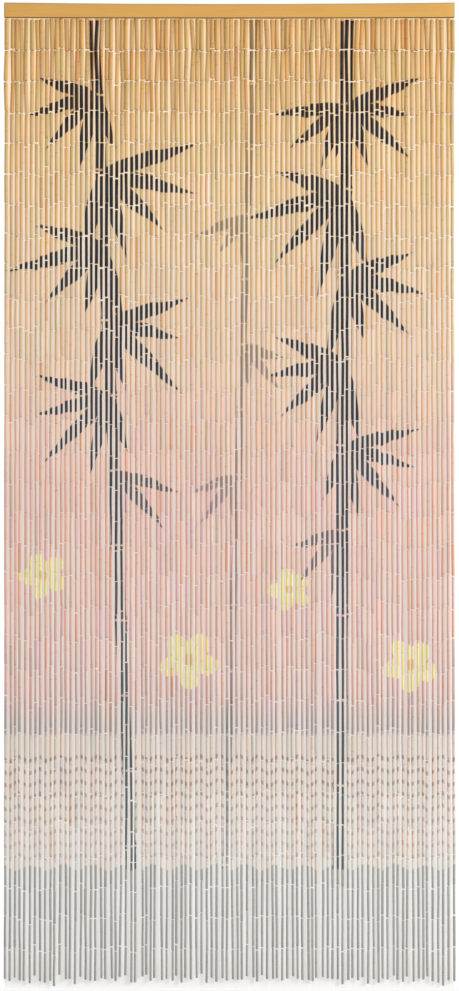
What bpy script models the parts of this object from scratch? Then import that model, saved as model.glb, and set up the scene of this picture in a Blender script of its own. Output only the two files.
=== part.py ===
"""Bamboo bead door curtain on a wooden batten.

Ninety strings of bamboo tube beads hang side by side from a slightly sagging
painted batten. Each string is sawn from one tapering twig, so it is built as a
square-sided strand that follows the line in which its beads hang and thins
towards the foot. The strands' roots are fused into one narrow root strip, which
sits in a groove in the underside of the batten.

Frame: +Z up, the front faces -Y, and the origin is the middle of the batten's
flat back face.
"""

import math
import random

import bmesh
import bpy
from mathutils import Matrix, Vector

# Batten
BATTEN_LENGTH = 0.900
BATTEN_HEIGHT = 0.028
BATTEN_THICKNESS = 0.010
BATTEN_EDGE_RADIUS = 0.0012
BATTEN_SEGMENTS = 16
TOP_EDGE_SAG = 0.0029
BOTTOM_EDGE_SAG = 0.0009

# Root strip and its groove
STRIP_WIDTH = 0.0040
STRIP_TOP = -0.0108
STRIP_BOTTOM = -0.0146
STRIP_END_INSET = 0.0036
FIT_GAP = 0.0003
GROOVE_REACH = 0.004

# Bead strings
STRANDS = 90
STRAND_PITCH = 0.010
STRAND_WIDTH = 0.0069
STRAND_TAPER = 0.25
BEADS = 31
BEAD_PITCH = 0.0619
BEAD_PITCH_SPREAD = 0.0009
FIRST_BEAD_TOP = -0.0164
BEADS_PER_SEGMENT = 3
NECK_SHARE = 0.35
NECK_STEP = 0.0006
NECK_BURIED = 0.0008

# How unevenly the strings hang
FLARE = 0.0038
ROOT_WANDER = 0.0013
ROOT_WANDER_FADE = 0.10
SWAY = 0.0024
SWAY_TURNS = (0.35, 1.1)
JOINT_WANDER = 0.00025
DEPTH_WANDER = 0.0005
SMALLEST_PITCH = 0.0072
SPACING_ROUNDS = 80
SEED = 90

# Paint colours, as linear RGB
BATTEN_PAINT = (0.70, 0.39, 0.11, 1.0)
BEAD_PAINT = (0.76, 0.52, 0.33, 1.0)
PAINT_ROUGHNESS = 0.55


def clear_scene():
    for old in list(bpy.data.objects):
        bpy.data.objects.remove(old, do_unlink=True)


def new_collection(name):
    collection = bpy.data.collections.new(name)
    bpy.context.scene.collection.children.link(collection)
    return collection


def add_object(name, bm, collection):
    mesh = bpy.data.meshes.new(name)
    bm.to_mesh(mesh)
    bm.free()
    made = bpy.data.objects.new(name, mesh)
    collection.objects.link(made)
    return made


def paint(target, name, colour):
    material = bpy.data.materials.new(name)
    material.use_nodes = True
    shader = material.node_tree.nodes["Principled BSDF"]
    shader.inputs["Base Color"].default_value = colour
    shader.inputs["Roughness"].default_value = PAINT_ROUGHNESS
    shader.inputs["Metallic"].default_value = 0.0
    target.data.materials.append(material)


def box_mesh(x_size, y_range, z_range):
    """A box centred on X, between two depths and two heights."""
    middle = Vector((0, sum(y_range) / 2, sum(z_range) / 2))
    sizes = (x_size, y_range[1] - y_range[0], z_range[1] - z_range[0], 1)
    bm = bmesh.new()
    placed = Matrix.Translation(middle) @ Matrix.Diagonal(sizes)
    bmesh.ops.create_cube(bm, size=1.0, matrix=placed)
    return bm


def as_cutter(target):
    target.hide_render = True
    target.display_type = "WIRE"


def add_boolean(target, other, operation):
    modifier = target.modifiers.new(operation.title(), "BOOLEAN")
    modifier.operation = operation
    modifier.object = other
    modifier.solver = "EXACT"


def build_batten(parts, cutters):
    """A lath with eased edges whose ends stand a little above its middle."""
    depth = (-BATTEN_THICKNESS, 0.0)
    height = (-BATTEN_HEIGHT / 2, BATTEN_HEIGHT / 2)
    bm = box_mesh(BATTEN_LENGTH, depth, height)
    long_edges = [
        edge for edge in bm.edges
        if abs(edge.verts[0].co.x - edge.verts[1].co.x) > BATTEN_LENGTH / 2
    ]
    bmesh.ops.subdivide_edges(
        bm, edges=long_edges, cuts=BATTEN_SEGMENTS - 1, use_grid_fill=True
    )
    for vertex in bm.verts:
        sag = TOP_EDGE_SAG if vertex.co.z > 0 else BOTTOM_EDGE_SAG
        vertex.co.z += sag * (2 * vertex.co.x / BATTEN_LENGTH) ** 2
    batten = add_object("batten", bm, parts)
    bevel = batten.modifiers.new("Eased edges", "BEVEL")
    bevel.width = BATTEN_EDGE_RADIUS
    bevel.segments = 2
    bevel.limit_method = "ANGLE"
    bevel.angle_limit = math.radians(60)

    half = STRIP_WIDTH / 2 + FIT_GAP
    middle = -BATTEN_THICKNESS / 2
    length = BATTEN_LENGTH - 2 * (STRIP_END_INSET - FIT_GAP)
    groove_height = (STRIP_BOTTOM - GROOVE_REACH, STRIP_TOP + FIT_GAP)
    groove = add_object(
        "groove",
        box_mesh(length, (middle - half, middle + half), groove_height),
        cutters,
    )
    as_cutter(groove)
    add_boolean(batten, groove, "DIFFERENCE")
    paint(batten, "painted_batten", BATTEN_PAINT)


def spaced(positions):
    """Neighbours that are too close push each other apart, in equal shares."""
    for _ in range(SPACING_ROUNDS):
        for left in range(len(positions) - 1):
            short = SMALLEST_PITCH - (positions[left + 1] - positions[left])
            if short > 0:
                positions[left] -= short / 2
                positions[left + 1] += short / 2
    return positions


def hanging_lines():
    """For each string, the points from its first bead's top to its last bead's end."""
    chance = random.Random(SEED)
    columns = []
    for strand in range(STRANDS):
        place = strand - (STRANDS - 1) / 2
        root = chance.gauss(0, ROOT_WANDER)
        sway = chance.gauss(0, SWAY)
        turns = chance.uniform(*SWAY_TURNS)
        start = chance.random()
        depth = chance.gauss(0, DEPTH_WANDER)
        height = FIRST_BEAD_TOP
        column = []
        for joint in range(BEADS + 1):
            share = joint / BEADS
            x = place * (STRAND_PITCH + share * 2 * FLARE / STRANDS)
            x += root * math.exp(-share / ROOT_WANDER_FADE)
            x += sway * share**1.5 * math.sin(math.tau * (start + turns * share))
            x += chance.gauss(0, JOINT_WANDER)
            y = depth * share - BATTEN_THICKNESS / 2
            column.append([x, y, height])
            height -= chance.gauss(BEAD_PITCH, BEAD_PITCH_SPREAD)
        columns.append(column)
    for joint in range(BEADS + 1):
        level = spaced([column[joint][0] for column in columns])
        for column, x in zip(columns, level):
            column[joint][0] = x
    return columns


def extrude_strand(bm, column):
    """A square section, thinner towards the foot, drawn down from its neck."""
    joints = list(range(BEADS_PER_SEGMENT, BEADS, BEADS_PER_SEGMENT)) + [BEADS]
    first = Vector(column[0])
    sections = [
        (Vector((first.x, first.y, STRIP_BOTTOM + NECK_BURIED)), NECK_SHARE),
        (first + Vector((0, 0, NECK_STEP)), NECK_SHARE),
        (first, 1.0),
    ]
    for joint in joints:
        sections.append((Vector(column[joint]), 1 - STRAND_TAPER * joint / BEADS))
    place, share = sections[0]
    made = bmesh.ops.create_circle(
        bm,
        cap_ends=True,
        segments=4,
        radius=STRAND_WIDTH / math.sqrt(2) * share,
        matrix=Matrix.Translation(place) @ Matrix.Rotation(math.pi / 4, 4, "Z"),
    )
    face = made["verts"][0].link_faces[0]
    for step, (next_place, next_share) in enumerate(sections[1:]):
        drawn = bmesh.ops.extrude_face_region(bm, geom=[face])
        # The first face stays as the top cap, and later ones lie inside the strand.
        if step > 0:
            bmesh.ops.delete(bm, geom=[face], context="FACES_ONLY")
        face = next(g for g in drawn["geom"] if isinstance(g, bmesh.types.BMFace))
        bmesh.ops.translate(bm, verts=face.verts, vec=next_place - place)
        if next_share != share:
            factor = next_share / share
            bmesh.ops.scale(
                bm,
                verts=face.verts,
                vec=(factor, factor, 1),
                space=Matrix.Translation(-next_place),
            )
        place, share = next_place, next_share


def build_bead_strings(parts, cutters):
    """The root strip with the ninety strands joined to its underside."""
    middle = -BATTEN_THICKNESS / 2
    depth = (middle - STRIP_WIDTH / 2, middle + STRIP_WIDTH / 2)
    length = BATTEN_LENGTH - 2 * STRIP_END_INSET
    strip = box_mesh(length, depth, (STRIP_BOTTOM, STRIP_TOP))
    bead_strings = add_object("bead_strings", strip, parts)

    bm = bmesh.new()
    for column in hanging_lines():
        extrude_strand(bm, column)
    bmesh.ops.recalc_face_normals(bm, faces=bm.faces)
    strands = add_object("strands", bm, cutters)
    as_cutter(strands)
    add_boolean(bead_strings, strands, "UNION")
    paint(bead_strings, "painted_bamboo", BEAD_PAINT)


clear_scene()
curtain = new_collection("bamboo_door_curtain")
helpers = new_collection("cutters")
build_batten(curtain, helpers)
build_bead_strings(curtain, helpers)
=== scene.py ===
"""The looks of a bamboo bead door curtain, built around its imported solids.

Sizes are in metres, +Z is up, the front faces -Y, and the origin is the middle of the
batten's flat back face.
"""

import math
import random

import bmesh
import bpy
import numpy as np
from mathutils import Matrix, Vector


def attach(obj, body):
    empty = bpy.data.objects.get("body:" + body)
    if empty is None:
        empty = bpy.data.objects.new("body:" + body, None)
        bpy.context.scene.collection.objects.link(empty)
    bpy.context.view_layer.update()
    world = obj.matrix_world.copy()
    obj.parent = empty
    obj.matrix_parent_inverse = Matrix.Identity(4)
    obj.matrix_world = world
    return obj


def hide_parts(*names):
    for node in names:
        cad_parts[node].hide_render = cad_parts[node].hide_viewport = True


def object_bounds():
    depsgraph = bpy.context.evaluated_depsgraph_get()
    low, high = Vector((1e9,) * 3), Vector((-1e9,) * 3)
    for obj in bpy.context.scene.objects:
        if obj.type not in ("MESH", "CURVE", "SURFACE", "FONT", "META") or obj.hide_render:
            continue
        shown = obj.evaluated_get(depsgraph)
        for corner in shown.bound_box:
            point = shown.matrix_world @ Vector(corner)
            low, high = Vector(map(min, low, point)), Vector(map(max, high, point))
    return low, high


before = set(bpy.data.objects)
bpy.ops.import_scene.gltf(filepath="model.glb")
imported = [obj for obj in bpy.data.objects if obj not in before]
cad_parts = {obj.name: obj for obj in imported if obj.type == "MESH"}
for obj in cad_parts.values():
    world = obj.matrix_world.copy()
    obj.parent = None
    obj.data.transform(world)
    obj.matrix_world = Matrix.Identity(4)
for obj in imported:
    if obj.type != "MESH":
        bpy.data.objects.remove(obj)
cad_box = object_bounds()


# The batten
# A planed softwood lath, painted the same gold as the top of the curtain. Its edges are
# rubbed down by hand, and it bows a little under the weight of the strings.

BATTEN_LENGTH = 0.900
BATTEN_HEIGHT = 0.028
BATTEN_THICKNESS = 0.010
TOP_EDGE_SAG = 0.0029
BOTTOM_EDGE_SAG = 0.0009
BATTEN_EDGE = 0.0014
BATTEN_SEGMENTS = 60
PLANING_WAVE = 0.00012
PLANING_TURNS = (31, 11)
PLANING_START = 1.3
# How far the painted shade along the top edge and the ends reaches in
EDGE_SHADE_WIDTH = 0.0026
# How far the painted shadow on the underside reaches up
UNDERSIDE_SHADOW_WIDTH = 0.0016
PAINT_FADE = 0.0010

# How fine each unevenness of the lath is along, through and across it, in waves a metre
LATH_FIBRE = (6, 260, 420)
LATH_BLOTCH = (9, 30, 60)
LATH_PORES = (60, 900, 1500)

BATTEN_GOLD = (0.700, 0.380, 0.086, 1)
BATTEN_GOLD_DEEP = (0.600, 0.310, 0.056, 1)
# A darker colour for painted shade along the rounded top edge and the ends
BATTEN_EDGE_SHADE = (0.400, 0.290, 0.140, 1)
# A dark brown for the painted shadow on the underside
BATTEN_UNDERSIDE_SHADOW = (0.240, 0.125, 0.036, 1)

# Where each mark on the lath begins and ends, and how strongly it shows
FIBRE_STEP, FIBRE_SHOWS = (0.35, 0.75), 0.45
BLOTCH_STEP, BLOTCH_SHOWS = (0.50, 0.80), 0.35
# How strongly the painted edge shade shows
EDGE_SHADE_SHOWS = 0.8
# How strongly the painted underside shadow shows
UNDERSIDE_SHADOW_SHOWS = 0.9
LATH_ROUGHNESS = 0.5
PORE_ROUGHNESS = 0.25
LATH_RELIEF = 0.0003


class Reading:
    """A value read in a finish, which takes part in sums as a number does."""

    def __init__(self, finish, socket):
        self.finish = finish
        self.socket = socket

    def sum(self, operation, *values):
        return self.finish.node(
            "ShaderNodeMath", {"operation": operation}, dict(enumerate(values))
        )

    def __add__(self, other):
        return self.sum("ADD", self, other)

    __radd__ = __add__

    def __sub__(self, other):
        return self.sum("SUBTRACT", self, other)

    def __rsub__(self, other):
        return self.sum("SUBTRACT", other, self)

    def __mul__(self, other):
        return self.sum("MULTIPLY", self, other)

    __rmul__ = __mul__

    def __truediv__(self, other):
        return self.sum("DIVIDE", self, other)

    def __rtruediv__(self, other):
        return self.sum("DIVIDE", other, self)

    def __abs__(self):
        return self.sum("ABSOLUTE", self)

    def most(self, other):
        return self.sum("MAXIMUM", self, other)

    def least(self, other):
        return self.sum("MINIMUM", self, other)

    def rise(self, low, high):
        """0 below low, 1 above high, and a smooth step between them."""
        return self.finish.node(
            "ShaderNodeMapRange",
            {"interpolation_type": "SMOOTHSTEP"},
            {"Value": self, "From Min": low, "From Max": high},
        )


class Finish:
    """One material and the nodes that paint it."""

    def __init__(self, name):
        self.material = bpy.data.materials.new(name)
        self.material.use_nodes = True
        self.tree = self.material.node_tree
        self.shader = self.tree.nodes["Principled BSDF"]
        self.at = self.node("ShaderNodeTexCoord", output="Object")
        self.x, self.y, self.z = self.parts(self.at)

    def node(self, kind, settings=None, values=None, output=0):
        made = self.tree.nodes.new(kind)
        for key, value in (settings or {}).items():
            if key == "stops":
                self.set_stops(made.color_ramp, value)
            else:
                setattr(made, key, value)
        for key, value in (values or {}).items():
            self.give(made.inputs[key], value)
        return Reading(self, made.outputs[output])

    def give(self, socket, value):
        if isinstance(value, Reading):
            self.tree.links.new(value.socket, socket)
        else:
            socket.default_value = value

    @staticmethod
    def set_stops(ramp, stops):
        while len(ramp.elements) > 1:
            ramp.elements.remove(ramp.elements[0])
        ramp.elements[0].position = stops[0][0]
        ramp.elements[0].color = stops[0][1]
        for place, colour in stops[1:]:
            ramp.elements.new(place).color = colour

    def parts(self, vector):
        split = self.node("ShaderNodeSeparateXYZ", None, {0: vector}).socket.node
        return [Reading(self, socket) for socket in split.outputs]

    def vector(self, x=0.0, y=0.0, z=0.0):
        return self.node("ShaderNodeCombineXYZ", None, {0: x, 1: y, 2: z})

    def stretched(self, vector, x, y, z):
        return self.node(
            "ShaderNodeVectorMath", {"operation": "MULTIPLY"}, {0: vector, 1: (x, y, z)}
        )

    def noise(self, vector, scale, detail=2.0, roughness=0.5):
        values = {"Vector": vector, "Scale": scale, "Detail": detail, "Roughness": roughness}
        return self.node("ShaderNodeTexNoise", None, values)

    def blend(self, share, first, second, way="MIX"):
        return self.node(
            "ShaderNodeMix",
            {"data_type": "RGBA", "blend_type": way},
            {0: share, 6: first, 7: second},
            output=2,
        )

    def relief(self, height, depth, strength=1.0):
        return self.node(
            "ShaderNodeBump", None, {"Strength": strength, "Distance": depth, "Height": height}
        )

    def coat(self, **sockets):
        for name, value in sockets.items():
            self.give(self.shader.inputs[name.replace("_", " ").title()], value)

    def put_on(self, piece):
        piece.data.materials.clear()
        piece.data.materials.append(self.material)


def batten_sag(x, at_top):
    sag = TOP_EDGE_SAG if at_top else BOTTOM_EDGE_SAG
    return sag * (2 * x / BATTEN_LENGTH) ** 2


batten_bm = bmesh.new()
batten_size = Matrix.Diagonal((BATTEN_LENGTH, BATTEN_THICKNESS, BATTEN_HEIGHT, 1))
batten_place = Matrix.Translation((0, -BATTEN_THICKNESS / 2, 0))
bmesh.ops.create_cube(batten_bm, size=1.0, matrix=batten_place @ batten_size)
bmesh.ops.bevel(
    batten_bm,
    geom=batten_bm.edges[:],
    offset=BATTEN_EDGE,
    segments=3,
    profile=0.5,
    affect="EDGES",
)
lengthwise = [
    edge for edge in batten_bm.edges
    if abs(edge.verts[0].co.x - edge.verts[1].co.x) > BATTEN_LENGTH / 2
]
bmesh.ops.subdivide_edges(
    batten_bm, edges=lengthwise, cuts=BATTEN_SEGMENTS - 1, use_grid_fill=True
)
short_turn, long_turn = PLANING_TURNS
for vertex in batten_bm.verts:
    x = vertex.co.x
    planed = math.sin(short_turn * x + PLANING_START) * math.sin(long_turn * x)
    vertex.co.z += batten_sag(x, vertex.co.z > 0) + PLANING_WAVE * planed
batten_mesh = bpy.data.meshes.new("batten_lath")
batten_bm.to_mesh(batten_mesh)
batten_bm.free()
batten_mesh.shade_smooth()
batten_mesh.set_sharp_from_angle(angle=math.radians(40))
batten = bpy.data.objects.new("batten_lath", batten_mesh)
bpy.context.scene.collection.objects.link(batten)

lath = Finish("gold_paint_on_lath")
fibre = lath.noise(lath.stretched(lath.at, *LATH_FIBRE), 1.0, 4.0, 0.6)
blotch = lath.noise(lath.stretched(lath.at, *LATH_BLOTCH), 1.0, 3.0)
pores = lath.noise(lath.stretched(lath.at, *LATH_PORES), 1.0, 2.0)
span = lath.x * (2 / BATTEN_LENGTH)
from_top = BATTEN_HEIGHT / 2 + TOP_EDGE_SAG * (span * span) - lath.z
from_bottom = BATTEN_HEIGHT / 2 - BOTTOM_EDGE_SAG * (span * span) + lath.z
from_end = BATTEN_LENGTH / 2 - abs(lath.x)
# Painted shade: darker along the top edge and the ends, where the rounded edges turn from the
# light
painted_edge_shade = (EDGE_SHADE_WIDTH - from_top.least(from_end)).rise(0.0, PAINT_FADE)
# Painted shadow on the underside of the lath
painted_underside_shadow = (UNDERSIDE_SHADOW_WIDTH - from_bottom).rise(0.0, PAINT_FADE)
gold = lath.blend(fibre.rise(*FIBRE_STEP) * FIBRE_SHOWS, BATTEN_GOLD, BATTEN_GOLD_DEEP)
gold = lath.blend(blotch.rise(*BLOTCH_STEP) * BLOTCH_SHOWS, gold, BATTEN_GOLD_DEEP)
gold = lath.blend(painted_edge_shade * EDGE_SHADE_SHOWS, gold, BATTEN_EDGE_SHADE)
gold = lath.blend(painted_underside_shadow * UNDERSIDE_SHADOW_SHOWS, gold, BATTEN_UNDERSIDE_SHADOW)
lath.coat(
    base_color=gold,
    roughness=LATH_ROUGHNESS + PORE_ROUGHNESS * pores,
    normal=lath.relief(fibre * 0.7 + pores * 0.3, LATH_RELIEF, 0.5),
)
lath.put_on(batten)
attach(batten, "root")
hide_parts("batten")


# The bamboo beads
# Ninety tapering bamboo twigs, each sawn into tubes about 6 cm long that hang end to
# end. They are primed off-white, and the picture is sprayed on from the front.

STRANDS = 90
STRAND_PITCH = 0.010
BEADS = 31
BEAD_PITCH = 0.0619
BEAD_PITCH_SPREAD = 0.0009
FIRST_BEAD_TOP = -0.0164
FLARE = 0.0038
ROOT_WANDER = 0.0013
ROOT_WANDER_FADE = 0.10
SWAY = 0.0024
SWAY_TURNS = (0.35, 1.1)
JOINT_WANDER = 0.00025
DEPTH_WANDER = 0.0005
SMALLEST_PITCH = 0.0072
SPACING_ROUNDS = 80
SEED = 90

BEAD_RADIUS = (0.00310, 0.00340, 0.00390)
BEAD_CLEARANCE = 0.00002
TWIG_TAPER = 0.31
THICK_ROWS = (0.29, 3.4)
FIRST_BEAD_RISE = (-0.0008, 0.0021)
FIRST_BEAD_GAP = (0.0004, 0.0012)
LENGTH_WANDER = 0.0023
FIRST_TILT = (0.0, 0.0013, 0.0008, 0.0004, 0.0)
FIRST_CLOSEST = (0.0083, 0.0083, 0.0081, 0.0077, 0.0073)
TOUCHING = 0.0007
BEAD_GAP = (0.0004, 0.0013, 0.0035)
BEAD_GAP_BY_ROW = ((0, 7, 15, 26), (1.25, 1.20, 0.62, 1.10))
BEAD_BORE_SHARE = 0.57
BEAD_TAPER = 0.05
BEAD_BOW = 0.00010
SAW_SLANT = 0.05
BEAD_RIM = 0.00035
BEAD_SIDES = 12
BEAD_TURN = math.radians(11)
PRINT_SHIFT = 0.0012
STRANDS_PER_PIECE = 18
NO_NEIGHBOUR = 1.0
JOINTS_BESIDE_A_BEAD = 4

# The rings of a bead, from its upper bore over its outside to its lower bore
BEAD_PROFILE = [
    # how far along, how far in from that end, share of the radius, how bare of paint
    (0.0, 0.0, BEAD_BORE_SHARE, 1.0),
    (0.0, 0.0, 0.90, 0.35),
    (0.0, BEAD_RIM, 1.0, 0.0),
    (0.34, 0.0, 1.0, 0.0),
    (0.67, 0.0, 1.0, 0.0),
    (1.0, -BEAD_RIM, 1.0, 0.0),
    (1.0, 0.0, 0.90, 0.35),
    (1.0, 0.0, BEAD_BORE_SHARE, 1.0),
]


def spaced(positions, closest):
    """Neighbours that are too close push each other apart, in equal shares."""
    for _ in range(SPACING_ROUNDS):
        for left in range(len(positions) - 1):
            short = closest - (positions[left + 1] - positions[left])
            if short > 0:
                positions[left] -= short / 2
                positions[left + 1] += short / 2
    return positions


def hanging_lines():
    """For each string, the points between its beads, from the batten to its end."""
    chance = random.Random(SEED)
    columns = []
    for strand in range(STRANDS):
        place = strand - (STRANDS - 1) / 2
        root = chance.gauss(0, ROOT_WANDER)
        sway = chance.gauss(0, SWAY)
        turns = chance.uniform(*SWAY_TURNS)
        start = chance.random()
        depth = chance.gauss(0, DEPTH_WANDER)
        height = FIRST_BEAD_TOP
        column = []
        for joint in range(BEADS + 1):
            share = joint / BEADS
            x = place * (STRAND_PITCH + share * 2 * FLARE / STRANDS)
            x += root * math.exp(-share / ROOT_WANDER_FADE)
            x += sway * share**1.5 * math.sin(math.tau * (start + turns * share))
            x += chance.gauss(0, JOINT_WANDER)
            y = depth * share - BATTEN_THICKNESS / 2
            column.append([x, y, height])
            height -= chance.gauss(BEAD_PITCH, BEAD_PITCH_SPREAD)
        columns.append(column)
    for joint in range(BEADS + 1):
        level = spaced([column[joint][0] for column in columns], SMALLEST_PITCH)
        for column, x in zip(columns, level):
            column[joint][0] = x
    return np.array(columns)


def recut(columns, chance):
    """The same strings with less even beads, the first of which hang askew."""
    wander = np.cumsum(chance.normal(0, LENGTH_WANDER, columns.shape[:2]), axis=1)
    wander -= wander[:, :1]
    share = np.linspace(0, 1, BEADS + 1)
    wander -= wander[:, -1:] * share
    wander[:, 0] = chance.uniform(*FIRST_BEAD_RISE, len(columns))
    recut_columns = columns.copy()
    for new, old, shift in zip(recut_columns, columns, wander):
        new[:, 2] = np.sort(old[:, 2] + shift)[::-1]
        new[:, 0] = np.interp(-new[:, 2], -old[:, 2], old[:, 0])
        new[:, 1] = np.interp(-new[:, 2], -old[:, 2], old[:, 1])
    for joint, (tilt, closest) in enumerate(zip(FIRST_TILT, FIRST_CLOSEST)):
        level = recut_columns[:, joint, 0] + chance.normal(0, tilt, len(columns))
        recut_columns[:, joint, 0] = spaced(list(level), closest)
    return recut_columns


def free_width(columns):
    """For each bead, how close the string on its left and on its right come to it."""
    steps = np.diff(columns[:, :, 0], axis=0)
    edge = np.full((1, BEADS + 1), NO_NEIGHBOUR)
    both_sides = np.stack((np.vstack((edge, steps)), np.vstack((steps, edge))), axis=-1)
    padded = np.pad(both_sides, ((0, 0), (1, 1), (0, 0)), mode="edge")
    near = np.lib.stride_tricks.sliding_window_view(padded, JOINTS_BESIDE_A_BEAD, axis=1)
    return near.min(axis=-1)


def unit(vectors):
    return vectors / np.linalg.norm(vectors, axis=-1, keepdims=True)


def ring_faces(rings, sides):
    """Four-sided faces round a closed loop of rings."""
    ring = np.arange(rings)[:, None]
    side = np.arange(sides)[None, :]
    after_ring = (ring + 1) % rings
    after_side = (side + 1) % sides
    corners = (
        ring * sides + side,
        ring * sides + after_side,
        after_ring * sides + after_side,
        after_ring * sides + side,
    )
    return np.stack(np.broadcast_arrays(*corners), axis=-1).reshape(-1, 4)


def many_copies(name, points, faces, notes=None):
    """One mesh of many like forms: points is copies x points x 3."""
    copies, count, _ = points.shape
    quads = (faces[None] + (np.arange(copies) * count)[:, None, None]).reshape(-1, 4)
    mesh = bpy.data.meshes.new(name)
    mesh.vertices.add(copies * count)
    mesh.vertices.foreach_set("co", points.astype(np.float32).ravel())
    mesh.loops.add(quads.size)
    mesh.loops.foreach_set("vertex_index", quads.astype(np.int32).ravel())
    mesh.polygons.add(len(quads))
    mesh.polygons.foreach_set("loop_start", np.arange(0, quads.size, 4, dtype=np.int32))
    for label, values in (notes or {}).items():
        note = mesh.attributes.new(label, "FLOAT_VECTOR", "POINT")
        note.data.foreach_set("vector", values.astype(np.float32).ravel())
    mesh.update(calc_edges=True)
    mesh.validate()
    mesh.shade_smooth()
    mesh.set_sharp_from_angle(angle=math.radians(50))
    made = bpy.data.objects.new(name, mesh)
    bpy.context.scene.collection.objects.link(made)
    return made


def bead_frames(tops, ends):
    """Along, sideways and forward directions for each bead."""
    along = unit(ends - tops)
    sideways = unit(np.cross(along, (0.0, 1.0, 0.0)))
    forward = np.cross(sideways, along)
    return along, sideways, forward


def joint_gaps(strands, chance):
    """The bare length above each bead and below it."""
    gaps = chance.triangular(*BEAD_GAP, (strands, BEADS + 1)) / 2
    gaps *= np.interp(np.arange(BEADS + 1), *BEAD_GAP_BY_ROW)
    gaps[:, 0] = chance.uniform(*FIRST_BEAD_GAP, strands) / 2
    return gaps[:, :-1].reshape(-1), gaps[:, 1:].reshape(-1)


def bead_radii(row, widest, chance):
    """Twigs thin towards the foot, are stoutest in the first rows and leave room."""
    stouter, fade = THICK_ROWS
    radius = chance.triangular(*BEAD_RADIUS, len(row)) * (1 - TWIG_TAPER * row / BEADS)
    radius *= 1 + stouter * np.exp(-row / fade)
    return np.minimum(radius, widest / 2 - BEAD_CLEARANCE)


def build_beads(name, columns, room, first_strand, chance):
    """All the beads of a group of strings, with what their paint needs at each point."""
    strands = len(columns)
    tops = columns[:, :-1].reshape(-1, 3)
    ends = columns[:, 1:].reshape(-1, 3)
    count = len(tops)
    along, sideways, forward = bead_frames(tops, ends)
    gap_above, gap_below = joint_gaps(strands, chance)
    length = np.linalg.norm(ends - tops, axis=1) - gap_above - gap_below
    strand = np.repeat(np.arange(strands) + first_strand, BEADS)
    row = np.tile(np.arange(BEADS), strands)
    left, right = room.reshape(-1, 2).T
    radius = bead_radii(row, np.minimum(left, right), chance)
    touch = np.stack((left, right), axis=-1) < 2 * radius[:, None] + TOUCHING
    taper = chance.uniform(-BEAD_TAPER, BEAD_TAPER, count)
    bow = chance.normal(0, BEAD_BOW, (count, 2))
    slant = chance.normal(0, SAW_SLANT, (count, 2, 2))
    tone = chance.random((count, 3))
    knot = chance.uniform(-1.0, 1.0, count)
    turn = np.arange(BEAD_SIDES) * math.tau / BEAD_SIDES
    turned = turn + chance.normal(0, BEAD_TURN, (count, 1))
    flat_x = (strand - (STRANDS - 1) / 2) * STRAND_PITCH
    print_shift = np.repeat(chance.normal(0, PRINT_SHIFT, strands), BEADS)
    flat_z = tops[:, 2] - FIRST_BEAD_TOP + print_shift

    cos, sin = np.cos(turn), np.sin(turn)
    to_left, to_right = np.maximum(-cos, 0), np.maximum(cos, 0)
    crease = touch[:, :1] * to_left + touch[:, 1:] * to_right
    rings = []
    places = []
    tones = []
    cuts = []
    creases = []
    for share, inset, width, bare in BEAD_PROFILE:
        reach = share * length + inset
        bulge = math.sin(math.pi * share)
        size = radius * width * (1 + taper * (share - 0.5))
        tilt = slant[:, 0] * (1 - share) + slant[:, 1] * share
        side = size[:, None] * cos + (bow[:, 0] * bulge)[:, None]
        front = size[:, None] * sin + (bow[:, 1] * bulge)[:, None]
        lean = (tilt[:, :1] * cos + tilt[:, 1:] * sin) * size[:, None]
        step = (gap_above + reach)[:, None] + lean
        ring = (
            tops[:, None]
            + along[:, None] * step[..., None]
            + sideways[:, None] * side[..., None]
            + forward[:, None] * front[..., None]
        )
        rings.append(ring)
        flat = (flat_x[:, None] + side, -np.sin(turned), flat_z[:, None] - step)
        places.append(np.stack(flat, axis=-1))
        tones.append(np.broadcast_to(tone[:, None], (count, BEAD_SIDES, 3)))
        creases.append(np.stack((crease, crease, crease), axis=-1))
        cut = (np.full(count, share), knot, np.full(count, bare))
        cuts.append(np.broadcast_to(np.stack(cut, axis=-1)[:, None], (count, BEAD_SIDES, 3)))
    points = np.stack(rings, axis=1).reshape(count, -1, 3)
    notes = {
        "print_place": np.stack(places, axis=1),
        "bead_tone": np.stack(tones, axis=1),
        "bead_cut": np.stack(cuts, axis=1),
        "bead_crease": np.stack(creases, axis=1),
    }
    return many_copies(name, points, ring_faces(len(BEAD_PROFILE), BEAD_SIDES), notes)


columns = recut(hanging_lines(), np.random.default_rng(SEED))
room = free_width(columns)
first_strands = range(0, STRANDS, STRANDS_PER_PIECE)
groups = [slice(first, first + STRANDS_PER_PIECE) for first in first_strands]
bead_pieces = []
for number, group in enumerate(groups, start=1):
    chance = np.random.default_rng(SEED + number)
    beads = build_beads(f"beads_{number}", columns[group], room[group], group.start, chance)
    bead_pieces.append(beads)

# The ground paint is sprayed in soft bands across the whole curtain. Each row gives how
# far below the batten a shade lies, in cm, and the shade as screen numbers.
GROUND_ROWS = [
    (0, (214, 171, 100)),
    (13, (217, 178, 113)),
    (26, (221, 184, 124)),
    (45, (223, 187, 134)),
    (58, (227, 190, 146)),
    (71, (230, 192, 155)),
    (83, (230, 186, 159)),
    (96, (228, 180, 161)),
    (109, (228, 182, 164)),
    (122, (225, 180, 166)),
    (135, (212, 172, 162)),
    (140.5, (178, 164, 162)),
    (142.5, (178, 164, 162)),
    (143, (216, 199, 183)),
    (158, (226, 213, 200)),
    (195, (226, 214, 202)),
]

# A band of chevrons fades downwards, and below it the foot has a toothed edge (in cm)
CHEVRON_ROSE = (176, 146, 136)
CHEVRON_BAND = (146.0, 168.5)
CHEVRON_PITCH = 2.45
CHEVRON_RISE = 0.55
CHEVRON_WIDTH = 2.0
CHEVRON_LINE = 0.20
CHEVRON_BLUR = 0.08
CHEVRON_FADE = 0.55
FOOT_GREY = (170, 171, 167)
FOOT_TOP = 170.0
FOOT_TOOTH = 1.5
FOOT_TOOTH_WIDTH = 3.0
FOOT_BLUR = 0.3
BAND_EDGE = 0.4

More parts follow.
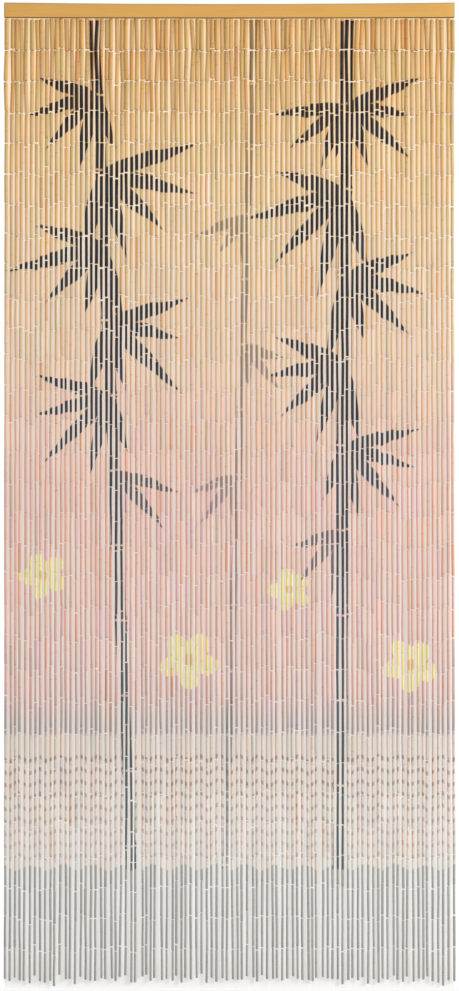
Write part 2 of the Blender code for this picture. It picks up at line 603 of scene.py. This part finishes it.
# Ink drawing: bamboo canes with sprays of leaves. Places are in cm across from the
# middle and down from the batten, and a turn is in degrees from straight down.
INK_ROWS = [
    (0, (16, 19, 24)),
    (60, (28, 34, 42)),
    (95, (58, 66, 76)),
    (130, (78, 90, 98)),
    (180, (96, 108, 112)),
]
CANES = [
    # across at the top, lean, half width, length of one section, faintness
    (23.5, -0.010, 1.35, 17.0, 0.0),
    (-27.0, 0.045, 1.20, 15.0, 0.0),
    (5.0, -0.035, 0.75, 13.0, 0.45),
]
CANE_SWELLING = 0.18
CANE_SWELLING_REACH = 0.08
CANE_JOINT = (0.12, 0.30)
SPRAYS = [
    # across, down, turn, leaves, length, width, faintness
    (23.3, 17.0, 50, 5, 20, 1.7, 0.0),
    (23.3, 17.0, -52, 3, 17, 1.6, 0.0),
    (23.2, 34.0, -44, 5, 25, 2.0, 0.0),
    (23.0, 51.0, 47, 5, 23, 1.9, 0.0),
    (22.8, 68.0, -48, 5, 23, 1.9, 0.0),
    (22.6, 85.0, 42, 5, 20, 1.7, 0.0),
    (22.5, 102.0, -40, 3, 16, 1.5, 0.2),
    (-26.3, 15.0, -44, 5, 19, 1.7, 0.0),
    (-25.6, 30.0, 46, 5, 25, 2.0, 0.0),
    (-24.9, 45.0, -46, 5, 23, 1.9, 0.0),
    (-24.3, 60.0, 45, 5, 23, 1.9, 0.0),
    (-23.6, 75.0, -45, 5, 20, 1.7, 0.0),
    (-22.9, 90.0, 40, 3, 17, 1.5, 0.1),
    (3.6, 39.0, -36, 3, 14, 1.3, 0.45),
    (2.7, 65.0, 40, 3, 15, 1.3, 0.45),
    (1.8, 91.0, -38, 3, 14, 1.3, 0.45),
]
LEAF_STEP = 27.0
LEAF_EDGE = 0.16
SHORTEST_LEAF = 0.70
OUTER_LEAF_LOSS = 0.07
LEAF_DROOP = 0.9
LEAF_FULLNESS = 3.1
LEAF_POINT = 1.5
SPRAY_LUCK = 7.0

# Pale blossoms: across, down and radius in cm
BLOSSOMS = [
    (-37.0, 111.0, 5.0),
    (-8.0, 128.0, 6.2),
    (12.0, 114.0, 4.6),
    (36.0, 129.0, 5.8),
]
BLOSSOM_TURN = 12
BLOSSOM_YELLOW = (242, 230, 140)
BLOSSOM_HEART = (222, 178, 96)
BLOSSOM_BLUR = 0.5
PETALS = 5
PETAL_NOTCH = 0.40
PETAL_COVER = 0.92
HEART_SHARE = 0.24
HEART_COVER = 0.8

# How fine the bamboo's streaks and fibres are across, through and along a bead
STREAK_GRAIN = (900, 900, 22)
FIBRE_GRAIN = (2600, 2600, 40)


def paint_colour(red, green, blue):
    """A paint's light values from the screen numbers of its shade."""
    shares = (red / 255, green / 255, blue / 255)
    light = [s / 12.92 if s <= 0.04045 else ((s + 0.055) / 1.055) ** 2.4 for s in shares]
    return (*light, 1)


def banded(finish, rows, down):
    """A shade that changes with the distance down the curtain."""
    longest = rows[-1][0]
    stops = [(place / longest, paint_colour(*shade)) for place, shade in rows]
    return finish.node("ShaderNodeValToRGB", {"stops": stops}, {0: down / longest})


def near_top(down, reach):
    """1 under the batten, fading evenly to 0 at this reach in cm."""
    return 1 - (down / reach).least(1.0)


def turned_place(finish, flat_cm, across, down, turn):
    """The place on the flat print, as seen from a point and along a turned axis."""
    values = {
        "Vector": flat_cm,
        "Location": (across, down, 0),
        "Rotation": (0, 0, math.radians(-turn)),
    }
    return finish.node("ShaderNodeMapping", {"vector_type": "TEXTURE"}, values)


def leaf_spray(finish, flat_cm, across, down, turn, leaves, length, width, seed):
    """A fan of slim leaves that taper to both ends and droop at their tips."""
    local = turned_place(finish, flat_cm, across, down, turn)
    side, ahead, _ = finish.parts(local)
    reach = finish.node("ShaderNodeVectorMath", {"operation": "LENGTH"}, {0: local}, "Value")
    step = math.radians(LEAF_STEP)
    most = (leaves - 1) / 2
    angle = side.sum("ARCTAN2", side, ahead)
    leaf = (angle / step).sum("ROUND", angle / step).least(most).most(-most)
    off = angle - leaf * step
    luck = finish.node("ShaderNodeTexWhiteNoise", {"noise_dimensions": "1D"}, {"W": leaf + seed})
    grown = SHORTEST_LEAF + (1 - SHORTEST_LEAF) * luck
    full = length * grown - abs(leaf) * (OUTER_LEAF_LOSS * length)
    along = (reach * off.sum("COSINE", off) / full).least(1.0)
    beside = reach * off.sum("SINE", off) - leaf * along * along * LEAF_DROOP
    belly = along * (1 - along) * (LEAF_POINT - along) * (LEAF_FULLNESS * width)
    return (belly - abs(beside)).rise(0.0, LEAF_EDGE)


def ink_cane(across_cm, down_cm, across, lean, half, section):
    """A jointed stem: even sections with a fine gap and a slight swelling at each joint."""
    off = across_cm - across - down_cm * lean
    place = (down_cm / section).sum("FRACT", down_cm / section)
    from_joint = 0.5 - abs(place - 0.5)
    reach = CANE_SWELLING_REACH
    swell = (reach - from_joint).rise(0.0, reach) * CANE_SWELLING
    stem = (half + swell - abs(off)).rise(0.0, LEAF_EDGE)
    return stem * (from_joint * section).rise(*CANE_JOINT)


def blossom(finish, flat_cm, across, down, radius):
    """Five round petals and the heart, as two masks."""
    local = turned_place(finish, flat_cm, across, down, BLOSSOM_TURN * radius)
    side, ahead, _ = finish.parts(local)
    reach = finish.node("ShaderNodeVectorMath", {"operation": "LENGTH"}, {0: local}, "Value")
    turn = side.sum("ARCTAN2", side, ahead) * (PETALS / 2)
    petal = radius * (1 - PETAL_NOTCH + PETAL_NOTCH * abs(turn.sum("COSINE", turn)))
    heart = radius * HEART_SHARE
    return (petal - reach).rise(0.0, BLOSSOM_BLUR), (heart - reach).rise(0.0, BLOSSOM_BLUR)


bamboo = Finish("painted_bamboo")
flat = bamboo.node("ShaderNodeAttribute", {"attribute_name": "print_place"}, output="Vector")
across, facing, drop = bamboo.parts(flat)
across_cm = across * 100
down_cm = drop * -100
flat_cm = bamboo.vector(across_cm, down_cm)
tone = bamboo.node("ShaderNodeAttribute", {"attribute_name": "bead_tone"}, output="Vector")
warmth, lightness, cover = bamboo.parts(tone)
cut = bamboo.node("ShaderNodeAttribute", {"attribute_name": "bead_cut"}, output="Vector")
share, knot, bare = bamboo.parts(cut)
crease = bamboo.node("ShaderNodeAttribute", {"attribute_name": "bead_crease"}, output="Fac")

ground = banded(bamboo, GROUND_ROWS, down_cm)
band_top, band_end = CHEVRON_BAND
zigzag = across_cm.sum("PINGPONG", across_cm, CHEVRON_WIDTH) * CHEVRON_RISE
chevrons = (down_cm + zigzag) / CHEVRON_PITCH
line = (CHEVRON_LINE - abs(chevrons.sum("FRACT", chevrons) - 0.5)).rise(0.0, CHEVRON_BLUR)
band = (down_cm - band_top).rise(0, BAND_EDGE) * (band_end - down_cm).rise(0, BAND_EDGE)
faded = 1 - CHEVRON_FADE * (down_cm - band_top).rise(0, band_end - band_top)
ground = bamboo.blend(line * band * faded, ground, paint_colour(*CHEVRON_ROSE))
tooth = across_cm.sum("PINGPONG", across_cm, FOOT_TOOTH_WIDTH) * (FOOT_TOOTH / FOOT_TOOTH_WIDTH)
foot = (down_cm - FOOT_TOP + tooth).rise(0, FOOT_BLUR)
ground = bamboo.blend(foot, ground, paint_colour(*FOOT_GREY))

petals = 0.0
hearts = 0.0
for row in BLOSSOMS:
    petal, heart = blossom(bamboo, flat_cm, *row)
    petals = petal.most(petals)
    hearts = heart.most(hearts)
ground = bamboo.blend(petals * PETAL_COVER, ground, paint_colour(*BLOSSOM_YELLOW))
ground = bamboo.blend(hearts * HEART_COVER, ground, paint_colour(*BLOSSOM_HEART))

drawing = 0.0
for *place, faint in CANES:
    cane = ink_cane(across_cm, down_cm, *place)
    drawing = (cane * (1 - faint)).most(drawing)
for number, (*place, faint) in enumerate(SPRAYS):
    spray = leaf_spray(bamboo, flat_cm, *place, SPRAY_LUCK * number)
    drawing = (spray * (1 - faint)).most(drawing)

# The spray covers the front of each bead in full, and its sides only in places
COVER_SPREAD = 0.22
STREAK_SPREAD = 0.5
INK_REACH = (0.30, 0.60)
INK_ON_FIBRES = (0.15, 0.32)
streaks = bamboo.noise(bamboo.stretched(bamboo.at, *STREAK_GRAIN), 1.0, 3.0, 0.6)
fibres = bamboo.noise(bamboo.stretched(bamboo.at, *FIBRE_GRAIN), 1.0, 2.0, 0.6)
sprayed = facing + COVER_SPREAD * (cover - 0.5) + STREAK_SPREAD * (streaks - 0.5)
drawing = drawing * (FOOT_TOP - down_cm).rise(0, BAND_EDGE) * fibres.rise(*INK_ON_FIBRES)
drawing = drawing * sprayed.rise(*INK_REACH)
colour = bamboo.blend(drawing, ground, banded(bamboo, INK_ROWS, down_cm))

# Each bead took the paint in its own way: olive, plain, rosy or, now and then, scorched
WARMTH_STOPS = [
    (0.00, (0.84, 0.92, 0.88, 1)),
    (0.22, (0.95, 0.99, 0.99, 1)),
    (0.52, (1.00, 1.00, 1.00, 1)),
    (0.82, (1.04, 0.97, 0.93, 1)),
    (0.94, (1.05, 0.92, 0.83, 1)),
    (0.98, (1.00, 0.82, 0.68, 1)),
    (1.00, (0.92, 0.70, 0.54, 1)),
]
SCORCH_REACH = 25
SCORCH_GAIN = 0.06
ROSY_TINT = (0.97, 0.96, 1.14, 1)
ROSY_SHARE = (0.72, 0.86)
ROSY_FADES = (125, 145)
FOOT_EVENNESS = 0.85
scorch = warmth + SCORCH_GAIN * near_top(down_cm, SCORCH_REACH)
tint = bamboo.node("ShaderNodeValToRGB", {"stops": WARMTH_STOPS}, {0: scorch})
rosy = cover.rise(*ROSY_SHARE) * (1 - 0.5 * down_cm.rise(*ROSY_FADES))
tint = bamboo.blend(rosy, tint, ROSY_TINT)
colour = bamboo.blend(1 - FOOT_EVENNESS * foot, colour, tint, "MULTIPLY")

# Near the top the paint reaches round the beads' sides. There a dark brown stands for painted
# shade in the creases where beads touch, and also darkens streaks where the paint runs thick,
# and the sides get painted bounce light. Lower down the sides and the backs keep their
# primer, and the sawn ends are bare.
TOP_ROWS_REACH = 60
WRAPPED_PAINT_REACH = 45
WRAPPED_PAINT_GAIN = 0.6
SPRAY_REACH = (0.20, 0.55)
# Where the painted crease shade begins and ends, and how strongly it shows
CREASE_SHADE_STEP, CREASE_SHADE_SHOWS = (0.50, 0.80), 0.6
THICK_STREAK, THICK_STREAK_SHOWS = (0.60, 0.74), 0.5
# A dark brown for the painted crease shade, also the colour of the thick paint streaks
CREASE_SHADE_AND_POOLED_PAINT = (0.580, 0.265, 0.060, 1)
BARE_BAMBOO = (0.60, 0.46, 0.27, 1)
PRIMER = paint_colour(236, 231, 222)
KNOT_HALF_WIDTH = 0.010
KNOT_BLUR, KNOT_SHOWS = 0.006, 0.35
BAMBOO_ROUGHNESS = 0.42
STREAK_ROUGHNESS = 0.22
BAMBOO_RELIEF = 0.0002
BAMBOO_SHINE = 0.3
# Rows near the top, where the crease shade, the thick paint streaks and the painted side light
# show
top_rows = near_top(down_cm, TOP_ROWS_REACH)
painted_crease_shade = crease.rise(*CREASE_SHADE_STEP) * CREASE_SHADE_SHOWS
in_streaks = streaks.rise(*THICK_STREAK) * THICK_STREAK_SHOWS
# Painted shade in the creases where beads touch, and darker streaks of thick paint
colour = bamboo.blend(painted_crease_shade.most(in_streaks) * top_rows, colour, CREASE_SHADE_AND_POOLED_PAINT)
wrapped = sprayed + WRAPPED_PAINT_GAIN * near_top(down_cm, WRAPPED_PAINT_REACH)
colour = bamboo.blend(wrapped.rise(*SPRAY_REACH), PRIMER, colour)
ring = (KNOT_HALF_WIDTH - abs(share - knot)).rise(0.0, KNOT_BLUR) * KNOT_SHOWS
shade = 0.90 + 0.14 * lightness + 0.24 * (fibres - 0.5) + 0.14 * (streaks - 0.5) - ring
# Painted bounce light near the top: the beads' sides are made lighter and their fronts a little
# darker, as light bounced between touching beads falls
shade = shade + top_rows * (0.26 - 0.34 * facing.most(0.0))
colour = bamboo.blend(1.0, colour, bamboo.vector(shade, shade, shade), "MULTIPLY")
colour = bamboo.blend(bare * 0.9, colour, BARE_BAMBOO)
bamboo.coat(
    base_color=colour,
    roughness=BAMBOO_ROUGHNESS + STREAK_ROUGHNESS * streaks,
    normal=bamboo.relief(streaks + fibres - ring, BAMBOO_RELIEF, 0.4),
)
bamboo.give(bamboo.shader.inputs["Specular IOR Level"], BAMBOO_SHINE)
for piece in bead_pieces:
    bamboo.put_on(piece)
    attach(piece, "root")
    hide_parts("bead_strings")


# The wire eyes
# Thin galvanised wire runs through each bead and is bent to an eye at both ends. Each
# eye hooks into the next bead's, and the first eye goes up into the batten's underside.

WIRE_RADIUS = 0.00027
EYE_HALF_WIDTH = 0.00092
EYE_HALF_LENGTH = 0.0030
EYE_STEPS = 8
WIRE_SIDES = 3
ZINC_DULL = (0.46, 0.46, 0.45, 1)
ZINC_BRIGHT = (0.66, 0.66, 0.64, 1)
ZINC_GRAIN = 900.0
ZINC_RELIEF = 0.0001
BOX_FACES = [(0, 4, 5, 1), (1, 5, 6, 2), (2, 6, 7, 3), (3, 7, 4, 0), (0, 1, 2, 3), (7, 6, 5, 4)]


def build_eyes(columns):
    """A flat eye above and below each joint, turned across each other to hook."""
    hang = unit(columns[:, 1:] - columns[:, :-1])
    above = np.concatenate((hang[:, :1], hang), axis=1)
    seat = EYE_HALF_LENGTH - WIRE_RADIUS
    upper = (columns - above * seat).reshape(-1, 3)
    lower = (columns[:, :-1] + hang * seat).reshape(-1, 3)
    centres = np.concatenate((upper, lower))
    long_way = np.concatenate((above.reshape(-1, 3), hang.reshape(-1, 3)))
    front = np.broadcast_to((0.0, 1.0, 0.0), (len(upper), 3))
    right = np.broadcast_to((1.0, 0.0, 0.0), (len(lower), 3))
    wide_way = np.concatenate((front, right))
    wide_way = unit(np.cross(np.cross(long_way, wide_way), long_way))
    thick_way = np.cross(long_way, wide_way)
    step = np.arange(EYE_STEPS) * math.tau / EYE_STEPS
    turn = np.arange(WIRE_SIDES) * math.tau / WIRE_SIDES
    cos, sin = np.cos(step)[:, None], np.sin(step)[:, None]
    wide = cos * (EYE_HALF_WIDTH + WIRE_RADIUS * np.cos(turn))
    tall = sin * (EYE_HALF_LENGTH + WIRE_RADIUS * np.cos(turn))
    thick = np.broadcast_to(WIRE_RADIUS * np.sin(turn), wide.shape)
    points = (
        centres[:, None, None]
        + wide_way[:, None, None] * wide[..., None]
        + long_way[:, None, None] * tall[..., None]
        + thick_way[:, None, None] * thick[..., None]
    )
    return points.reshape(len(centres), -1, 3)


def build_wires(columns):
    """The straight run of wire between the two eyes of each bead."""
    tops = columns[:, :-1].reshape(-1, 3)
    ends = columns[:, 1:].reshape(-1, 3)
    along, sideways, forward = bead_frames(tops, ends)
    reach = 2 * EYE_HALF_LENGTH - WIRE_RADIUS
    centres = np.stack((tops + along * reach, ends - along * reach), axis=1)
    corners = WIRE_RADIUS * np.array([(1, 0), (0, 1), (-1, 0), (0, -1)])
    section = corners[:, :1] * sideways[:, None] + corners[:, 1:] * forward[:, None]
    return (centres[:, :, None] + section[:, None]).reshape(len(tops), -1, 3)


zinc = Finish("galvanised_wire")
spangle = zinc.noise(zinc.at, ZINC_GRAIN, 2.0)
zinc.coat(
    base_color=zinc.blend(spangle, ZINC_DULL, ZINC_BRIGHT),
    metallic=1.0,
    roughness=0.30 + 0.25 * spangle,
    normal=zinc.relief(spangle, ZINC_RELIEF, 0.3),
)
wire_pieces = [many_copies("straight_wires", build_wires(columns), np.array(BOX_FACES))]
loops = ring_faces(EYE_STEPS, WIRE_SIDES)
for number, group in enumerate(groups, start=1):
    eyes = build_eyes(columns[group])
    wire_pieces.append(many_copies(f"wire_eyes_{number}", eyes, loops))
for piece in wire_pieces:
    zinc.put_on(piece)
    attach(piece, "root")
    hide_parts("bead_strings")


# The studio
# A pale floor under a white sky, a large soft light from the right and a weaker one from
# the left. A glowing sheet close behind the curtain carries painted shade and painted bounce
# light, which show in its gaps. Only the camera sees the sheet, and only from the front.

FLOOR_DROP = 0.065
FLOOR_SIZE = 9.0
FLOOR_BEHIND = 0.30
SHEET_SIZE = (0.94, 2.01)
SHEET_PLACE = 0.003
SHEET_GLOW = 0.80
SHADE_EDGES = (0.4510, 0.0, -1.964)
SHADE_FADE = 0.003
SHADE_FOOT_FADE = 0.022
SHADED_PAPER = (0.50, 0.50, 0.50, 1)
SHADE_GRAIN = (170, 1, 5)
SHADE_SPREAD = 0.16

# The painted shade behind the beads is tinted with painted bounce light from their paint
SHADE_ROWS = [
    (0, (243, 206, 163)),
    (12, (245, 210, 171)),
    (25, (244, 214, 178)),
    (50, (226, 204, 179)),
    (90, (210, 188, 178)),
    (138, (206, 188, 181)),
    (145, (200, 191, 183)),
    (158, (206, 199, 192)),
    (175, (206, 206, 204)),
    (189, (205, 205, 203)),
    (194, (192, 192, 188)),
    (197, (192, 192, 188)),
]
FLOOR_PALE = (0.80, 0.79, 0.775, 1)
WHITE = (1, 1, 1, 1)
DAYLIGHT = 0.46
LIGHTS = [
    # name, place, size, power
    ("key", (4.3, -3.3, 0.6), 1.6, 195),
    ("fill", (-2.2, -4.6, -0.4), 3.0, 34),
]
CAMERA_LENS = 100.0
CAMERA_DISTANCE = 5.50
CAMERA_HEIGHT = -0.9679
CAMERA_ASIDE = 0.0004
CURTAIN_MIDDLE = Vector((0, -0.0075, CAMERA_HEIGHT))


class Sky(Finish):
    """The light from all round, with its nodes made as a finish's are."""

    def __init__(self, name):
        self.world = bpy.data.worlds.new(name)
        self.world.use_nodes = True
        self.tree = self.world.node_tree


def stage_sheet(name, width, height, place, facing):
    """A flat sheet that belongs to the stage, turned to face one way."""
    bm = bmesh.new()
    turned = Vector(facing).to_track_quat("Z", "Y").to_matrix().to_4x4()
    at = Matrix.Translation(place) @ turned @ Matrix.Diagonal((width, height, 1, 1))
    bmesh.ops.create_grid(bm, x_segments=1, y_segments=1, size=0.5, matrix=at)
    mesh = bpy.data.meshes.new(name)
    bm.to_mesh(mesh)
    bm.free()
    sheet = bpy.data.objects.new(name, mesh)
    bpy.context.scene.collection.objects.link(sheet)
    return sheet


sky = Sky("daylight")
bpy.context.scene.world = sky.world
soft = sky.node("ShaderNodeBackground", None, {"Color": WHITE, "Strength": DAYLIGHT})
backdrop = sky.node("ShaderNodeBackground", None, {"Color": WHITE})
seen = sky.node("ShaderNodeLightPath", output="Is Camera Ray")
either = sky.node("ShaderNodeMixShader", None, {0: seen, 1: soft, 2: backdrop})
sky.give(sky.tree.nodes["World Output"].inputs["Surface"], either)

floor_place = (0, FLOOR_BEHIND - FLOOR_SIZE / 2, cad_box[0][2] - FLOOR_DROP)
floor = stage_sheet("floor", FLOOR_SIZE, FLOOR_SIZE, floor_place, (0, 0, 1))
floor_finish = Finish("pale_floor")
floor_finish.coat(base_color=FLOOR_PALE, roughness=0.8)
floor_finish.put_on(floor)

sheet_width, sheet_height = SHEET_SIZE
sheet_place = (0, SHEET_PLACE, -sheet_height / 2)
sheet = stage_sheet("shaded_sheet", sheet_width, sheet_height, sheet_place, (0, -1, 0))
paper = Finish("shaded_paper")
side_edge, top_edge, foot_edge = SHADE_EDGES
# Painted shade where the curtain stands in front of the sheet, fading out at its sides and below
# the strings' ends
within_sides = (side_edge - abs(paper.x)).rise(0.0, SHADE_FADE)
below_top = (top_edge - paper.z).rise(0.0, SHADE_FADE)
shaded = within_sides * below_top * (paper.z - foot_edge).rise(0.0, SHADE_FOOT_FADE)
uneven = paper.noise(paper.stretched(paper.at, *SHADE_GRAIN), 1.0, 2.0)
glow = banded(paper, SHADE_ROWS, paper.z * -100)
level = 1 - SHADE_SPREAD / 2 + SHADE_SPREAD * uneven
glow = paper.blend(1.0, glow, paper.vector(level, level, level), "MULTIPLY")
paper.coat(
    base_color=SHADED_PAPER,
    roughness=0.9,
    emission_color=glow,
    emission_strength=SHEET_GLOW,
)
from_behind = paper.node("ShaderNodeNewGeometry", output="Backfacing")
clear = paper.node("ShaderNodeBsdfTransparent")
painted = Reading(paper, paper.shader.outputs[0])
shown = shaded * (1 - from_behind)
surface = paper.node("ShaderNodeMixShader", None, {0: shown, 1: clear, 2: painted})
paper.give(paper.tree.nodes["Material Output"].inputs["Surface"], surface)
paper.put_on(sheet)
sheet.visible_diffuse = False
sheet.visible_glossy = False
sheet.visible_transmission = False
sheet.visible_shadow = False

for name, place, size, power in LIGHTS:
    light = bpy.data.lights.new(name, "AREA")
    light.size = size
    light.energy = power
    lamp = bpy.data.objects.new(name, light)
    lamp.location = place
    lamp.rotation_euler = (CURTAIN_MIDDLE - lamp.location).to_track_quat("-Z", "Y").to_euler()
    bpy.context.scene.collection.objects.link(lamp)

camera_data = bpy.data.cameras.new("camera")
camera_data.lens = CAMERA_LENS
camera = bpy.data.objects.new("camera", camera_data)
camera.location = CURTAIN_MIDDLE + Vector((CAMERA_ASIDE, -CAMERA_DISTANCE, 0))
camera.rotation_euler = (math.pi / 2, 0, 0)
bpy.context.scene.collection.objects.link(camera)
bpy.context.scene.camera = camera
bpy.context.scene.view_settings.view_transform = "Standard"
